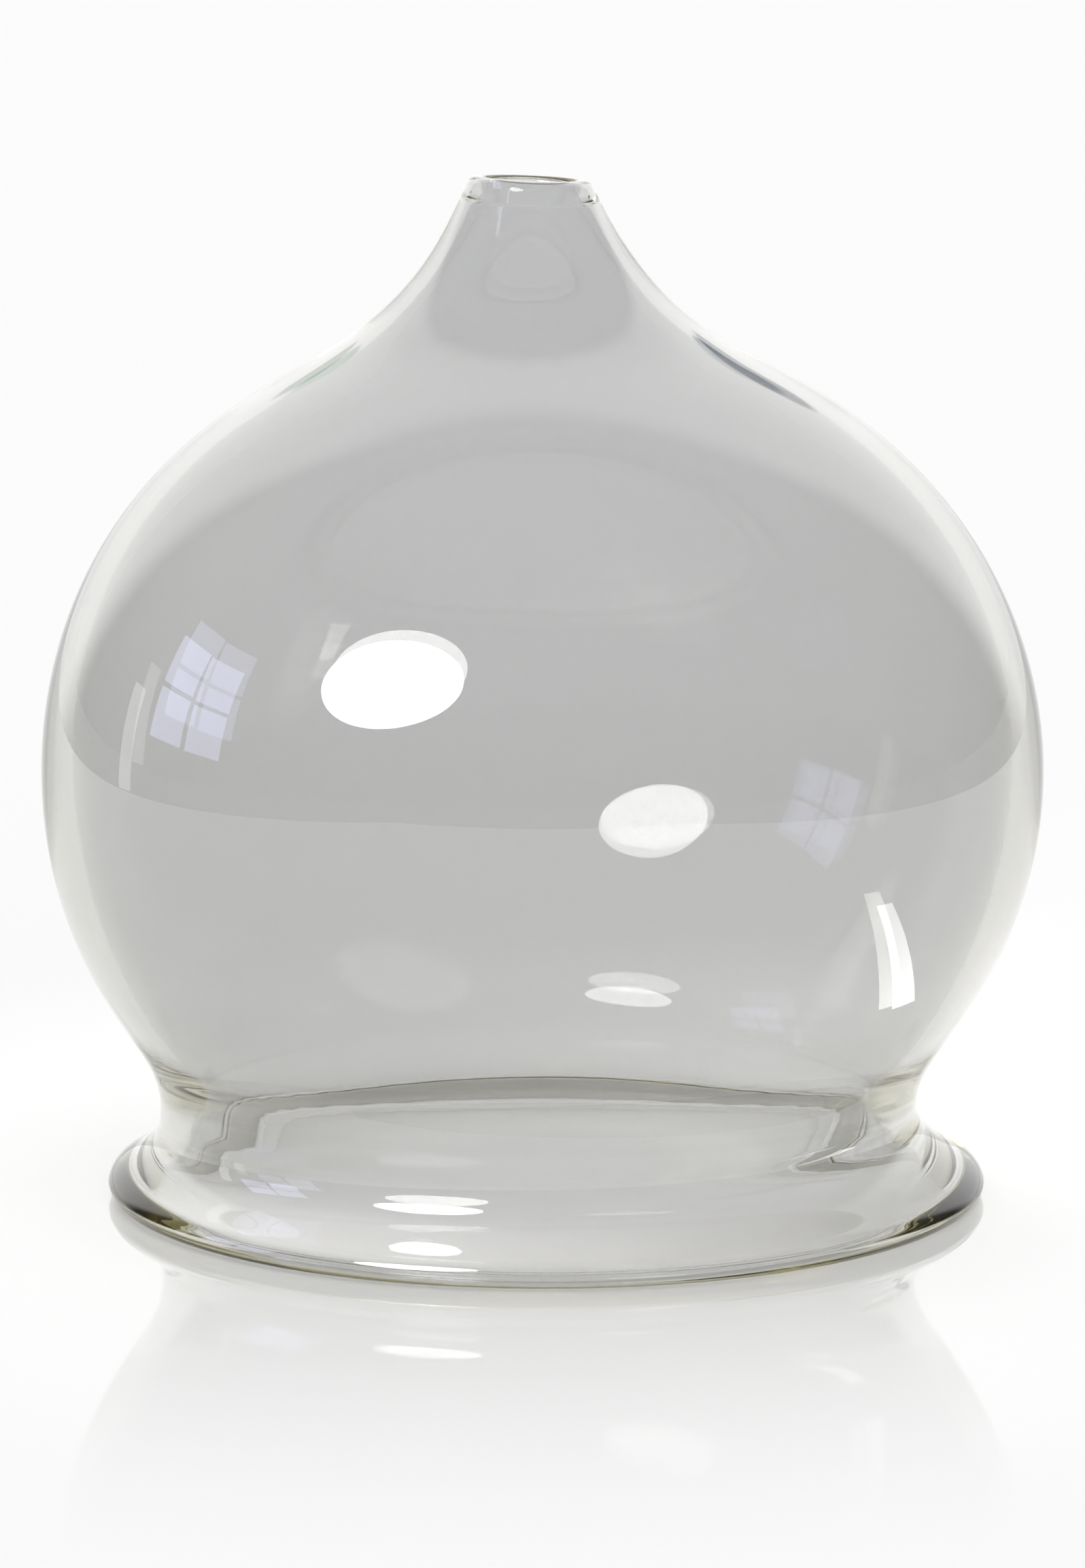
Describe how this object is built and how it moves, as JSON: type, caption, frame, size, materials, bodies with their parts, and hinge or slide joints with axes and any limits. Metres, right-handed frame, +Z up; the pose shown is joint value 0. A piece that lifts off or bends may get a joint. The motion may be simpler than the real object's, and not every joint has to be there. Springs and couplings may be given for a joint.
{
  "type": "cupping glass",
  "caption": "Clear blown-glass cupping bell with a round bulb, an open tapered neck for a suction hose and a waist flared into a flat-footed rim.",
  "frame": {"origin": "centre of the circle on which the rim rests", "axes": "+Z up the axis of the glass, from the rim to the tip; the form is round, so X and Y are free"},
  "size_m": [0.1, 0.1, 0.1018],
  "materials": {
    "clear_glass": "clear, fire-polished"
  },
  "bodies": {
    "root": {"neck": "clear_glass", "bulb": "clear_glass", "rim": "clear_glass"}
  },
  "joints": []
}
